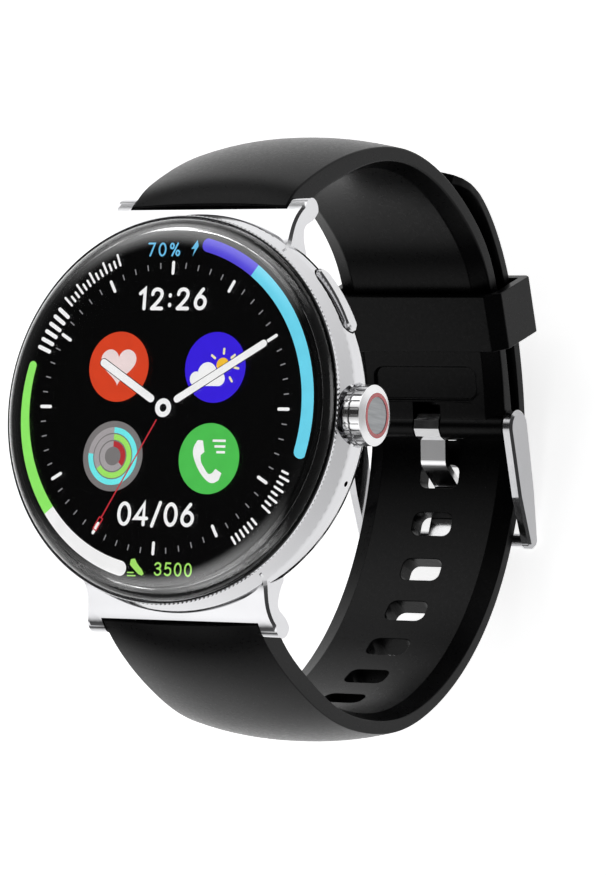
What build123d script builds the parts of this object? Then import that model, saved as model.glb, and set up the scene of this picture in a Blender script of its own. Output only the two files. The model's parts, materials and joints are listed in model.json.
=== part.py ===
from build123d import *
import math
import os

# Smartwatch with a buckled strap. Millimetres. +Z is the dial's normal, +X the crown side (3 o'clock),
# +Y the 12 o'clock side. The origin is the centre of the case back's contact face.

os.makedirs("parts", exist_ok=True)

# ---- driving dimensions -------------------------------------------------------------------------
STRAP_W = 20.0            # strap width at the lugs
CASE_R = 21.9             # largest radius of the case
GLASS_R = 20.85           # edge of the cover glass
BEZEL_R = 21.3
CAVITY_R = 18.6
WALL_TOP = 8.35           # top face of the case body
DISPLAY_Z = 10.3          # face of the display
GLASS_TOP = 11.1
BACK_T = 1.2              # back cover plate
LUG_HALF = 12.2           # half width over both lug horns, at their tips
HORN_WAIST = 11.7         # half width where the horns' sides curve in, with the radius of that curve
HORN_CURVE = 6.0
SLOT_HALF = STRAP_W / 2 + 0.15
LUG_Y = 22.7              # spring bar axis
LUG_Z = 2.6
TIP_R = 1.35              # lug horn tip radius
NOSE_R = 1.3              # strap end radius round the spring bar
SIDE_Z = 5.4              # height of the crown and button axes
CROWN_R = 3.3
BUTTON_ANGLE = 35.0
BUTTON_L = 8.2
BUTTON_H = 2.1
MIC_ANGLE = -19.8
BUCKLE_Y = 4.7            # buckle bar axis
BUCKLE_Z = -47.4
BUCKLE_BAR_R = 0.85
OUTER_BAR_Y = -8.0        # the buckle's outer bar
OUTER_BAR_Z = -52.55
OUTER_BAR_R = 0.75
ARM_IN = STRAP_W / 2 + 0.5
ARM_OUT = ARM_IN + 1.15
KEEPER_Y = 17.6           # keeper's centre, tilt and length along the strap
KEEPER_Z = -44.65
KEEPER_TILT = 24.5
KEEPER_L = 6.7
KEEPER_WALL = 1.1
KEEPER_ROOM = 1.5         # room for the strap, across it
KEEPER_OPEN_H = 6.6
CROWN_FLOOR = 20.75       # bottom of the crown's pocket, from the case's axis
BUTTON_FLOOR = 20.2       # bottom of the button's pocket, deep enough for its travel
CAP_IN, CAP_OUT = 21.2, 22.4   # inner and outer radius of the button's curved cap

# ---- planes -------------------------------------------------------------------------------------
CROWN = Plane(origin=(0, 0, SIDE_Z), x_dir=(0, 1, 0), z_dir=(1, 0, 0))


def radial_plane(angle):
    """A plane whose normal points outward from the case's axis at this angle, with local y up."""
    out = (math.cos(math.radians(angle)), math.sin(math.radians(angle)), 0)
    return Plane(origin=(0, 0, SIDE_Z), x_dir=(-out[1], out[0], 0), z_dir=out)


BUTTON = radial_plane(BUTTON_ANGLE)
MIC = radial_plane(MIC_ANGLE)


def bar_plane(y, z):
    """A plane across the strap, normal to +X, with local x along +Y and local y along +Z."""
    return Plane(origin=(0, y, z), x_dir=(0, 1, 0), z_dir=(1, 0, 0))


UPPER_BAR = bar_plane(LUG_Y, LUG_Z)
LOWER_BAR = bar_plane(-LUG_Y, LUG_Z)
BUCKLE = bar_plane(BUCKLE_Y, BUCKLE_Z)


# ---- helpers, all used inside a BuildPart block -----------------------------------------------------
def cylinder(plane, radius, start, end, mode=Mode.ADD):
    with Locations(plane.offset(start)):
        Cylinder(radius, end - start, align=(Align.CENTER, Align.CENTER, Align.MIN), mode=mode)


def tube(plane, inner, outer, start, end):
    cylinder(plane, outer, start, end)
    cylinder(plane, inner, start - 0.01, end + 0.01, Mode.SUBTRACT)


def block(x, y, z, mode=Mode.ADD):
    """A box from three (low, high) pairs."""
    with Locations((x[0], y[0], z[0])):
        Box(x[1] - x[0], y[1] - y[0], z[1] - z[0], align=(Align.MIN, Align.MIN, Align.MIN), mode=mode)


def slab(plane, width, height, start, end, corner, mode=Mode.ADD):
    """A rounded rectangle on a plane, extruded along its normal."""
    with BuildSketch(plane.offset(start)) as outline:
        RectangleRounded(width, height, corner)
    extrude(outline.sketch, amount=end - start, mode=mode)


def helix_spring(plane, radius, wire, start, end, turns):
    """A coil spring along a plane's normal."""
    with Locations(plane.offset(start + wire)):
        with BuildPart(mode=Mode.PRIVATE) as coil:
            with BuildLine():
                path = Helix((end - start - 2 * wire) / turns, end - start - 2 * wire, radius)
            with BuildSketch(Plane(origin=path @ 0, z_dir=path % 0)):
                Circle(wire)
            sweep(is_frenet=True)
        add(coil.part)


def pillar(x, y, z, radius, height, mode=Mode.ADD):
    """An upright cylinder standing on the point (x, y, z)."""
    with Locations((x, y, z)):
        Cylinder(radius, height, align=(Align.CENTER, Align.CENTER, Align.MIN), mode=mode)


def save(builder, label):
    builder.part.label = label
    export_step(builder.part, f"parts/{label}.step")


def polar(radius, angle):
    return (radius * math.cos(math.radians(angle)), radius * math.sin(math.radians(angle)))


# ---- case -------------------------------------------------------------------------------------------
SCREW_SPOTS = [polar(16.4, a) for a in (60, 120, 240, 300)]
BOARD_SCREWS = [(-15.4, 3.6), (10.5, 12.1), (10.9, -11.7)]
BATTERY = ((-13.5, 8.5), (-9.0, 9.0), (2.6, 5.9))
SPEAKER = ((-6.6, 4.4), (10.4, 16.2), (2.6, 5.6))
MOTOR_X, MOTOR_Y, MOTOR_R = 1.5, -13.4, 4.0
MAGNETS = [(-12.6, -9.8), (12.6, -9.8)]


def horn_tip(angle):
    """A point of the rounded tip of a lug horn, as (y, z)."""
    y, z = polar(TIP_R, angle)
    return (LUG_Y + y, LUG_Z + z)


with BuildPart() as lugs:
    with BuildSketch(Plane.YZ.offset(-LUG_HALF)):
        with BuildLine():
            under, middle, over = [horn_tip(angle) for angle in (232, -35, 58)]
            Line((15.0, 7.7), (15.0, 3.1))
            Line((15.0, 3.1), (20.2, 3.1))
            Spline((20.2, 3.1), under, tangents=[(1, 0), (0.79, -0.62)])
            ThreePointArc(under, middle, over)
            Spline(over, (21.9, 4.8), (19.8, 5.6), (17.6, 7.7))
            Line((17.6, 7.7), (15.0, 7.7))
        make_face()
    extrude(amount=2 * LUG_HALF)
    for side in (-1, 1):
        pillar(side * (HORN_WAIST + HORN_CURVE), 20.3, 0, HORN_CURVE, 9, Mode.SUBTRACT)
    rims = lugs.edges().filter_by(GeomType.BSPLINE).filter_by(lambda e: e.center().Z > 3.9)
    rims = rims.filter_by(lambda e: abs(e.center().X) > HORN_WAIST - 0.01 and e.center().Y > 17.9)
    chamfer(rims, length=0.3)
    mirror(about=Plane.XZ)

with BuildPart() as case_body:
    with BuildSketch(Plane.XZ):
        with BuildLine():
            Polyline((12.0, WALL_TOP), (12.0, BACK_T), (19.5, BACK_T), (21.0, 2.7))
            Spline((21.0, 2.7), (CASE_R - 0.2, 4.3), (CASE_R, 5.6), (CASE_R - 0.25, 6.7))
            Line((CASE_R - 0.25, 6.7), (BEZEL_R - 0.35, WALL_TOP))
            Line((BEZEL_R - 0.35, WALL_TOP), (12.0, WALL_TOP))
        make_face()
    revolve(axis=Axis.Z)
    add(lugs.part)
    cylinder(Plane.XY, CAVITY_R, 0, 12, Mode.SUBTRACT)
    for side, bar in ((1, UPPER_BAR), (-1, LOWER_BAR)):
        slot_y = sorted((side * (LUG_Y - 0.1), side * (LUG_Y + 4)))
        block((-SLOT_HALF, SLOT_HALF), slot_y, (0, 7), Mode.SUBTRACT)
        cylinder(bar, NOSE_R + 0.15, -SLOT_HALF, SLOT_HALF, Mode.SUBTRACT)
        cylinder(bar, 0.5, -LUG_HALF + 0.75, LUG_HALF - 0.75, Mode.SUBTRACT)
    for x, y in SCREW_SPOTS:
        angle = math.degrees(math.atan2(y, x))
        boss_plane = Plane(origin=(0, 0, 2.05), x_dir=(*polar(1, angle), 0), z_dir=(0, 0, 1))
        with BuildSketch(boss_plane) as boss_outline:
            with Locations((17.0, 0)):
                RectangleRounded(3.9, 2.8, 1.2)
        extrude(boss_outline.sketch, amount=3.0)
        pillar(x, y, 2.0, 0.65, 2.5, Mode.SUBTRACT)
    # crown pocket and bushing bore, then the button's pocket, spring seat and bore, then the sound port
    cylinder(CROWN, CROWN_R + 0.2, CROWN_FLOOR, 23, Mode.SUBTRACT)
    cylinder(CROWN, 1.3, 17, 21, Mode.SUBTRACT)
    slab(BUTTON, BUTTON_L + 0.3, BUTTON_H + 0.3, BUTTON_FLOOR, 24, (BUTTON_H + 0.28) / 2, Mode.SUBTRACT)
    cylinder(BUTTON, 1.1, 19.6, 21, Mode.SUBTRACT)
    cylinder(BUTTON, 0.65, 17, 21, Mode.SUBTRACT)
    cylinder(MIC, 0.32, 17, 24, Mode.SUBTRACT)
save(case_body, "case_body")

with BuildPart() as bezel_ring:
    with BuildSketch(Plane.XZ):
        with BuildLine():
            Polyline(
                (18.1, 7.6), (18.5, 7.6), (18.5, WALL_TOP), (BEZEL_R - 0.5, WALL_TOP),
                (BEZEL_R - 0.35, 8.75), (BEZEL_R, 8.95), (BEZEL_R, 9.2), (BEZEL_R - 0.15, 9.35),
                (GLASS_R + 0.12, 9.35), (GLASS_R + 0.12, 9.0), (18.1, 9.0), close=True,
            )
        make_face()
    revolve(axis=Axis.Z)
save(bezel_ring, "bezel_ring")

with BuildPart() as glass_gasket:
    tube(Plane.XY, 19.7, 20.7, 9.0, 9.2)
save(glass_gasket, "glass_gasket")

with BuildPart() as cover_glass:
    with BuildSketch(Plane.XZ):
        with BuildLine():
            Line((0, GLASS_TOP), (17.2, GLASS_TOP))
            Spline((17.2, GLASS_TOP), (19.4, 10.75), (GLASS_R, 9.55), tangents=[(1, 0), (0.25, -1)])
            Line((GLASS_R, 9.55), (GLASS_R - 0.1, 9.2))
            Polyline(
                (GLASS_R - 0.1, 9.2), (19.55, 9.2), (19.4, DISPLAY_Z + 0.02), (0, DISPLAY_Z + 0.02),
                (0, GLASS_TOP),
            )
        make_face()
    revolve(axis=Axis.Z)
save(cover_glass, "cover_glass")

with BuildPart() as display_panel:
    cylinder(Plane.XY, 19.3, DISPLAY_Z - 0.7, DISPLAY_Z)
save(display_panel, "display_panel")

with BuildPart() as display_flex:
    block((-4, 4), (-14.2, -10.5), (9.42, 9.58))
    block((-4, 4), (-14.2, -14.04), (7.9, 9.58))
    block((-4, 4), (-14.2, -11.6), (7.74, 7.92))
    block((-3, 3), (-13.6, -12.0), (7.7, 7.76))
save(display_flex, "display_flex")

with BuildPart() as antenna_ring:
    tube(Plane.XY, 17.1, 18.0, 7.45, 8.9)
save(antenna_ring, "antenna_ring")

with BuildPart() as inner_frame:
    cylinder(Plane.XY, 18.3, 2.1, 6.95)
    block((BATTERY[0][0] - 0.2, BATTERY[0][1] + 0.2), (-9.2, 9.2), (2.5, 8), Mode.SUBTRACT)
    block((-11, 6), (-6.5, 6.5), (1, 3), Mode.SUBTRACT)
    block((SPEAKER[0][0] - 0.15, SPEAKER[0][1] + 0.15), (10.25, 16.35), (2.5, 8), Mode.SUBTRACT)
    pillar(MOTOR_X, MOTOR_Y, 2.5, MOTOR_R + 0.15, 6, Mode.SUBTRACT)
    block((10.6, 19), (-2.6, 2.6), (2, 8), Mode.SUBTRACT)
    with Locations(BUTTON.offset(14.2)):
        Box(6.4, 6.8, 6, align=(Align.CENTER, Align.CENTER, Align.MIN), mode=Mode.SUBTRACT)
    with Locations(MIC.offset(15.9)):
        Box(3.2, 8, 4, align=(Align.CENTER, Align.CENTER, Align.MIN), mode=Mode.SUBTRACT)
    for x, y in SCREW_SPOTS:
        angle = math.degrees(math.atan2(y, x))
        gap_plane = Plane(origin=(0, 0, 2), x_dir=(*polar(1, angle), 0), z_dir=(0, 0, 1))
        with BuildSketch(gap_plane) as gap_outline:
            with Locations((17.2, 0)):
                RectangleRounded(4.7, 3.3, 1.2)
        extrude(gap_outline.sketch, amount=6, mode=Mode.SUBTRACT)
    for x, y in BOARD_SCREWS:
        pillar(x, y, 4.4, 0.5, 3, Mode.SUBTRACT)
    for x, y in MAGNETS:
        pillar(x, y, 2, 1.6, 0.55, Mode.SUBTRACT)
save(inner_frame, "inner_frame")

with BuildPart() as battery:
    block(*BATTERY)
    fillet(battery.edges().filter_by(Axis.Z), 1.5)
    block((5.0, 7.6), (-1.6, 1.6), (5.9, 6.3))
save(battery, "battery")

with BuildPart() as main_board:
    cylinder(Plane.XY, 16.9, 7.0, 7.7)
    for x, y in BOARD_SCREWS:
        pillar(x, y, 6.9, 0.65, 1, Mode.SUBTRACT)
    block((4.0, 9.0), (-2.0, 2.0), (6.9, 7.8), Mode.SUBTRACT)
save(main_board, "main_board")

with BuildPart() as board_shield:
    block((-13.0, 1.5), (-7.5, 7.5), (7.7, 8.7))
    block((-12.8, 1.3), (-7.3, 7.3), (7.6, 8.5), Mode.SUBTRACT)
save(board_shield, "board_shield")

with BuildPart() as board_chips:
    block((-11.5, -5.5), (-6.0, 0.0), (7.7, 8.3))
    block((-4.0, 0.5), (-5.5, -1.0), (7.7, 8.3))
    block((-10.5, -2.5), (1.8, 6.2), (7.7, 8.3))
    block((4.5, 8.5), (4.0, 8.0), (7.7, 8.4))
    block((4.5, 9.5), (-8.0, -4.5), (7.7, 8.4))
    block((-2.5, 2.5), (9.5, 12.5), (7.7, 8.4))
save(board_chips, "board_chips")

with BuildPart() as board_screws:
    for x, y in BOARD_SCREWS:
        pillar(x, y, 7.7, 1.1, 0.5)
        pillar(x, y, 4.6, 0.48, 3.2)
save(board_screws, "board_screws")

with BuildPart() as speaker:
    block(*SPEAKER)
    fillet(speaker.edges().filter_by(Axis.Z), 1.0)
save(speaker, "speaker")

with BuildPart() as microphone:
    cylinder(MIC, 1.1, 16.9, 18.2)
save(microphone, "microphone")

MOTOR = Plane(origin=(MOTOR_X, MOTOR_Y, 0), x_dir=(1, 0, 0), z_dir=(0, 0, 1))
with BuildPart() as vibration_motor_case:
    cylinder(MOTOR, MOTOR_R, 2.6, 5.4)
    cylinder(MOTOR, MOTOR_R - 0.25, 2.85, 5.15, Mode.SUBTRACT)
    cylinder(MOTOR, 0.4, 2.7, 5.3)
save(vibration_motor_case, "vibration_motor_case")

with BuildPart() as vibration_motor_rotor:
    tube(MOTOR, 0.45, 1.1, 3.1, 4.9)
    with BuildSketch(MOTOR.offset(3.3)) as weight:
        Circle(3.4)
        Circle(0.9, mode=Mode.SUBTRACT)
        with Locations((0, -2.6)):
            Rectangle(8, 4.4, mode=Mode.SUBTRACT)
    extrude(weight.sketch, amount=1.4)
save(vibration_motor_rotor, "vibration_motor_rotor")

# ---- case back --------------------------------------------------------------------------------------
WINDOW_R = 8.0
CONTACTS = [(-1.6, -13.4), (1.6, -13.4)]
with BuildPart() as back_cover:
    with BuildSketch(Plane.XZ):
        with BuildLine():
            Polyline(
                (6.6, 0.9), (WINDOW_R + 0.05, 0.9), (WINDOW_R + 0.05, 0), (17.6, 0), (19.4, 0.9),
                (19.4, BACK_T), (18.5, BACK_T), (18.5, 1.4), (18.1, 1.4), (18.1, 1.8), (18.5, 1.8),
                (18.5, 2.0), (17.7, 2.0), (17.7, BACK_T), (6.6, BACK_T), close=True,
            )
        make_face()
    revolve(axis=Axis.Z)
    for x, y in SCREW_SPOTS:
        pillar(x, y, 0, 1.25, 0.6, Mode.SUBTRACT)
        pillar(x, y, 0, 0.8, 3, Mode.SUBTRACT)
    for x, y in CONTACTS:
        pillar(x, y, 0, 1.0, 3, Mode.SUBTRACT)
save(back_cover, "back_cover")

with BuildPart() as back_gasket:
    tube(Plane.XY, 18.12, 18.58, 1.42, 1.78)
save(back_gasket, "back_gasket")

with BuildPart() as back_screws:
    for x, y in SCREW_SPOTS:
        pillar(x, y, 0.05, 1.15, 0.5)
        pillar(x, y, 0.3, 0.62, 3.6)
        for turn in (0, 90):
            with Locations(Location((x, y, 0.05), (0, 0, turn))):
                Box(1.3, 0.3, 0.5, mode=Mode.SUBTRACT)
save(back_screws, "back_screws")

with BuildPart() as sensor_window:
    cylinder(Plane.XY, WINDOW_R, 0, 0.88)
save(sensor_window, "sensor_window")

with BuildPart() as sensor_board:
    cylinder(Plane.XY, 6.2, 1.32, 1.8)
save(sensor_board, "sensor_board")

with BuildPart() as sensor_leds:
    with PolarLocations(3.6, 4):
        with Locations((0, 0, 0.92)):
            Box(1.6, 1.6, 0.4, align=(Align.CENTER, Align.CENTER, Align.MIN))
    with Locations((0, 0, 0.92)):
        Box(1.8, 1.8, 0.4, align=(Align.CENTER, Align.CENTER, Align.MIN))
save(sensor_leds, "sensor_leds")

with BuildPart() as charge_contacts:
    for x, y in CONTACTS:
        pillar(x, y, 0, 0.9, 1.9)
save(charge_contacts, "charge_contacts")

with BuildPart() as charge_magnets:
    for x, y in MAGNETS:
        pillar(x, y, BACK_T + 0.02, 1.5, 1.2)
save(charge_magnets, "charge_magnets")

# ---- crown --------------------------------------------------------------------------------------------
KNOB = (21.5, 23.9)      # along +X
SHAFT_R = 0.6
TEETH = 26

with BuildPart() as crown_bushing:
    cylinder(CROWN, 1.3, 18.0, CROWN_FLOOR)
    cylinder(CROWN, 1.75, 18.0, 18.45)
    cylinder(CROWN, SHAFT_R + 0.05, 17, 21, Mode.SUBTRACT)
save(crown_bushing, "crown_bushing")

with BuildPart() as crown_knob:
    cylinder(CROWN, CROWN_R, KNOB[0], KNOB[1])
    front = crown_knob.faces().sort_by(Axis.X)[-1]
    chamfer(front.edges(), length=0.75, length2=0.35, reference=front)
    cylinder(CROWN, CROWN_R + 1, KNOB[0] + 0.6, KNOB[0] + 0.85, Mode.SUBTRACT)
    cylinder(CROWN, CROWN_R - 0.3, KNOB[0] + 0.55, KNOB[0] + 0.9)
    for i in range(TEETH):
        turned = CROWN * Location((0, 0, 0), (0, 0, 360 / TEETH * i))
        with Locations(turned * Location((CROWN_R, 0, KNOB[0] + 0.85))):
            Box(0.36, 0.3, 1.1, align=(Align.CENTER, Align.CENTER, Align.MIN), mode=Mode.SUBTRACT)
        with Locations(turned * Location((CROWN_R, 0, KNOB[0] - 0.01))):
            Box(0.24, 0.26, 0.62, align=(Align.CENTER, Align.CENTER, Align.MIN), mode=Mode.SUBTRACT)
    cylinder(CROWN, 2.45, KNOB[1] - 0.35, KNOB[1] + 1, Mode.SUBTRACT)
    cylinder(CROWN, 2.5, KNOB[0] - 1, KNOB[0] + 1.3, Mode.SUBTRACT)
    cylinder(CROWN, SHAFT_R, KNOB[0], KNOB[1] - 0.9, Mode.SUBTRACT)
save(crown_knob, "crown_knob")

with BuildPart() as crown_ring:
    tube(CROWN, 2.0, 2.44, KNOB[1] - 0.35, KNOB[1] + 0.02)
save(crown_ring, "crown_ring")

with BuildPart() as crown_cap:
    cylinder(CROWN, 1.98, KNOB[1] - 0.35, KNOB[1] - 0.03)
save(crown_cap, "crown_cap")

SEAL_X = 19.1             # middle of the O-ring groove in the shaft
CLIP_X = 17.6             # inner face of the retaining clip
SHAFT_END = 13.7


def groove(plane, shaft_r, core_r, start, end):
    """Turn a groove into the shaft that is being built."""
    cylinder(plane, shaft_r + 0.1, start, end, Mode.SUBTRACT)
    cylinder(plane, core_r, start - 0.01, end + 0.01)


with BuildPart() as crown_shaft:
    cylinder(CROWN, SHAFT_R, SHAFT_END, KNOB[1] - 0.9)
    groove(CROWN, SHAFT_R, 0.38, SEAL_X - 0.25, SEAL_X + 0.25)
    groove(CROWN, SHAFT_R, 0.42, CLIP_X - 0.02, CLIP_X + 0.32)
save(crown_shaft, "crown_shaft")

with BuildPart() as crown_seal:
    tube(CROWN, 0.39, 0.63, SEAL_X - 0.2, SEAL_X + 0.2)
save(crown_seal, "crown_seal")

with BuildPart() as crown_clip:
    tube(CROWN, 0.43, 1.1, CLIP_X, CLIP_X + 0.3)
    block((CLIP_X - 0.1, CLIP_X + 0.4), (-0.35, 0.35), (SIDE_Z - 1.5, SIDE_Z), Mode.SUBTRACT)
save(crown_clip, "crown_clip")

with BuildPart() as crown_magnet:
    tube(CROWN, SHAFT_R + 0.01, 1.15, 15.5, 16.3)
save(crown_magnet, "crown_magnet")

with BuildPart() as crown_thrust_cap:
    tube(CROWN, SHAFT_R + 0.06, 1.05, SHAFT_END, 14.9)
    cylinder(CROWN, 1.05, SHAFT_END - 0.45, SHAFT_END - 0.03)
    tube(CROWN, SHAFT_R + 0.06, 1.05, SHAFT_END - 0.04, SHAFT_END + 0.02)
save(crown_thrust_cap, "crown_thrust_cap")

with BuildPart() as crown_spring:
    helix_spring(CROWN, 1.9, 0.12, CROWN_FLOOR, KNOB[0] + 1.3, 2.5)
save(crown_spring, "crown_spring")

with BuildPart() as crown_switch:
    block((11.2, 12.7), (-1.5, 1.5), (SIDE_Z - 1.4, SIDE_Z + 1.2))
    block((11.7, 13), (-0.85, 0.85), (SIDE_Z - 0.75, SIDE_Z + 0.75), Mode.SUBTRACT)
save(crown_switch, "crown_switch")

with BuildPart() as crown_switch_plunger:
    block((12.3, SHAFT_END - 0.47), (-0.75, 0.75), (SIDE_Z - 0.65, SIDE_Z + 0.65))
save(crown_switch_plunger, "crown_switch_plunger")

with BuildPart() as crown_sensor:
    block((15.4, 16.4), (-2.4, -1.45), (SIDE_Z - 1.0, SIDE_Z + 1.0))
save(crown_sensor, "crown_sensor")

# ---- side button ----------------------------------------------------------------------------------------
STEM_R = 0.6
STEM_END = 16.9
with BuildPart() as side_button:
    slab(BUTTON, BUTTON_L, BUTTON_H, CAP_IN - 0.55, CAP_OUT + 0.6, BUTTON_H / 2 - 0.01)
    with BuildPart(mode=Mode.PRIVATE) as face_shell:
        tube(Plane.XY, CAP_IN, CAP_OUT, 0, 12)
    add(face_shell.part, mode=Mode.INTERSECT)
    rim = side_button.edges().filter_by(lambda e: math.hypot(e.center().X, e.center().Y) > CAP_OUT - 0.15)
    chamfer(rim, 0.2)
    cylinder(BUTTON, STEM_R, STEM_END, CAP_IN + 0.3)
    groove(BUTTON, STEM_R, 0.38, 18.85, 19.35)
    groove(BUTTON, STEM_R, 0.42, 17.86, 18.2)
save(side_button, "side_button")

with BuildPart() as button_seal:
    tube(BUTTON, 0.39, 0.63, 18.9, 19.3)
save(button_seal, "button_seal")

with BuildPart() as button_clip:
    tube(BUTTON, 0.43, 1.0, 17.88, 18.18)
save(button_clip, "button_clip")

with BuildPart() as button_spring:
    helix_spring(BUTTON, 0.86, 0.1, 19.6, CAP_IN, 4)
save(button_spring, "button_spring")

with BuildPart() as button_switch:
    slab(BUTTON, 3.2, 2.4, 14.6, 16.1, 0.2)
    slab(BUTTON, 1.5, 1.3, 15.1, 16.5, 0.1, Mode.SUBTRACT)
save(button_switch, "button_switch")

with BuildPart() as button_switch_plunger:
    slab(BUTTON, 1.3, 1.1, 15.65, STEM_END - 0.03, 0.1)
save(button_switch_plunger, "button_switch_plunger")

with BuildPart() as switch_flexes:
    block((10.9, 11.18), (-2.5, 2.3), (SIDE_Z - 1.5, 6.98))
    block((11.18, 15.3), (-2.5, -2.41), (SIDE_Z - 1.4, 6.98))
    block((15.3, 16.5), (-2.5, -2.41), (SIDE_Z - 1.0, 6.98))
    slab(BUTTON, 4.4, 2.4, 14.35, 14.58, 0.2)
save(switch_flexes, "switch_flexes")

# ---- spring bars ------------------------------------------------------------------------------------------
BAR_R = 0.75
TUBE_HALF = 8.6
TIP_PIN_R = 0.42


def spring_bar(plane, name):
    """A sprung lug pin: a tube, two shouldered tips that retract into it, and the spring between them."""
    with BuildPart() as bar_tube:
        cylinder(plane, BAR_R, -TUBE_HALF, TUBE_HALF)
        cylinder(plane, 0.55, -TUBE_HALF + 0.2, TUBE_HALF - 0.2, Mode.SUBTRACT)
        cylinder(plane, TIP_PIN_R + 0.04, -TUBE_HALF - 1, TUBE_HALF + 1, Mode.SUBTRACT)
    save(bar_tube, f"{name}_tube")
    for side, word in ((1, "crown_side"), (-1, "far_side")):
        with BuildPart() as tip:
            cylinder(plane, TIP_PIN_R, *sorted((side * 7.6, side * (LUG_HALF - 0.95))))
            cylinder(plane, 0.52, *sorted((side * 6.6, side * (TUBE_HALF - 0.24))))
            cylinder(plane, 0.65, *sorted((side * 9.95, side * 10.08)))
        save(tip, f"{name}_tip_{word}")
    with BuildPart() as spring:
        helix_spring(plane, 0.4, 0.08, -6.6, 6.6, 22)
    save(spring, f"{name}_spring")


spring_bar(UPPER_BAR, "upper_bar")
spring_bar(LOWER_BAR, "lower_bar")

# ---- strap ------------------------------------------------------------------------------------------------
# Each row is a point of the outer face's long edges, as (y, z), the strap's thickness there, and how much
# higher the middle of its crowned outer face stands.
UPPER_PATH = [
    (22.9, 4.35, 1.5, 0.4), (24.4, 3.1, 3.2, 0.8), (26.4, 0.4, 3.3, 1.1), (29.8, -6.2, 2.9, 1.25),
    (32.0, -12.8, 2.5, 1.25), (33.0, -21.4, 2.4, 0.8), (31.5, -28.9, 2.4, 0.15), (28.4, -35.3, 2.4, 0.1),
    (24.0, -40.6, 2.4, 0.1), (17.4, -44.3, 2.3, 0.1), (10.4, -47.0, 2.3, 0.1), (6.0, -48.4, 2.6, 0.0),
]
LOWER_PATH = [
    (-22.85, 4.25, 1.4, 0.4), (-24.2, 2.8, 3.0, 0.8), (-26.3, 0.0, 3.3, 1.1), (-29.8, -6.6, 2.9, 1.2),
    (-32.0, -13.0, 2.5, 1.2), (-32.8, -20.5, 2.3, 1.2), (-32.0, -27.7, 2.2, 1.1), (-28.3, -35.9, 2.1, 1.0),
    (-23.3, -42.0, 2.1, 0.8), (-14.5, -48.1, 2.1, 0.3), (-4.9, -51.2, 2.1, 0.1), (3.2, -51.8, 2.1, 0.1),
    (10.6, -50.3, 2.1, 0.1), (18.6, -47.2, 2.1, 0.1), (22.7, -45.0, 2.0, 0.1), (27.4, -41.4, 1.9, 0.1),
    (30.7, -37.2, 1.7, 0.1), (32.2, -32.8, 1.4, 0.1), (32.5, -30.7, 1.25, 0.0),
]
MEAN_CROWN = 0.7          # the plain solid's outer face stands this share of the crown above the edges
EDGE_DEPTH, EDGE_WIDTH = 0.8, 2.1   # the bevel along both sides of the inner face
TONGUE_W = 3.3
POCKET_AT = 65.5          # middle of the shallow pocket, from the lug end along the outer face
FIRST_HOLE = 39.35        # the hole nearest the lug, from the lug end along the outer face
HOLE_PITCH = 6.13
HOLE_W, HOLE_L = 5.2, 3.0
HOLES = 10


def unit(a, b):
    length = math.hypot(b[0] - a[0], b[1] - a[1])
    return ((b[0] - a[0]) / length, (b[1] - a[1]) / length)


def face_points(path):
    """The points of the outer face, raised by the mean crown, and of the inner face, one thickness in."""
    turn = 1 if path[0][0] > 0 else -1
    outer = []
    inner = []
    for i, (y, z, thickness, crown) in enumerate(path):
        t = unit(path[max(i - 1, 0)], path[min(i + 1, len(path) - 1)])
        inward = (turn * t[1], -turn * t[0])
        outer.append((y - inward[0] * MEAN_CROWN * crown, z - inward[1] * MEAN_CROWN * crown))
        inner.append((y + inward[0] * thickness, z + inward[1] * thickness))
    return outer, inner


def strap_band(path, bar_y):
    """The strap's side outline, extruded over its width, with its bevelled edges and rounded lug end."""
    outer, inner = face_points(path)
    with BuildSketch(Plane.YZ.offset(-STRAP_W / 2)) as outline:
        with BuildLine():
            Spline(*outer)
            Spline(*inner)
            Line(outer[0], inner[0])
            Line(outer[-1], inner[-1])
        make_face()
    extrude(outline.sketch, amount=STRAP_W)
    inner_face = faces().filter_by(GeomType.EXTRUSION).sort_by(SortBy.AREA)[0]
    sides = inner_face.edges().filter_by(lambda e: abs(e.center().X) > STRAP_W / 2 - 0.01)
    chamfer(sides, length=EDGE_WIDTH, length2=EDGE_DEPTH, reference=inner_face)
    cylinder(bar_plane(bar_y, LUG_Z), NOSE_R, -STRAP_W / 2, STRAP_W / 2)
    cylinder(bar_plane(bar_y, LUG_Z), BAR_R + 0.02, -STRAP_W, STRAP_W, Mode.SUBTRACT)


def along(path, distance):
    """A plane on the outer face's edges this far from the lug end: x across the strap, z pointing inward."""
    turn = 1 if path[0][0] > 0 else -1
    curve = Spline(*[(0, y, z) for y, z, thickness, crown in path])
    spot = curve.position_at(distance, position_mode=PositionMode.LENGTH)
    t = curve.tangent_at(distance, position_mode=PositionMode.LENGTH)
    return Plane(origin=spot, x_dir=(1, 0, 0), z_dir=(0, turn * t.Z, -turn * t.Y))


with BuildPart() as strap_upper:
    strap_band(UPPER_PATH, LUG_Y)
    cylinder(BUCKLE, 1.6, -STRAP_W / 2, STRAP_W / 2)
    block((-STRAP_W / 2, STRAP_W / 2), (4.4, 7.0), (-48.9, -45.9))
    cylinder(BUCKLE, BUCKLE_BAR_R + 0.02, -STRAP_W, STRAP_W, Mode.SUBTRACT)
    block((-TONGUE_W / 2 - 0.2, TONGUE_W / 2 + 0.2), (0, 7.3), (-50, -43), Mode.SUBTRACT)
    slab(along(UPPER_PATH, POCKET_AT), 13.5, 4.0, 1.9, 4, 1.2, Mode.SUBTRACT)
save(strap_upper, "strap_upper")

with BuildPart() as strap_lower:
    strap_band(LOWER_PATH, -LUG_Y)
    for i in range(HOLES):
        spot = along(LOWER_PATH, FIRST_HOLE + i * HOLE_PITCH)
        slab(spot, HOLE_W, HOLE_L, -2, 4, 1.0, Mode.SUBTRACT)
save(strap_lower, "strap_lower")

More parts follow.
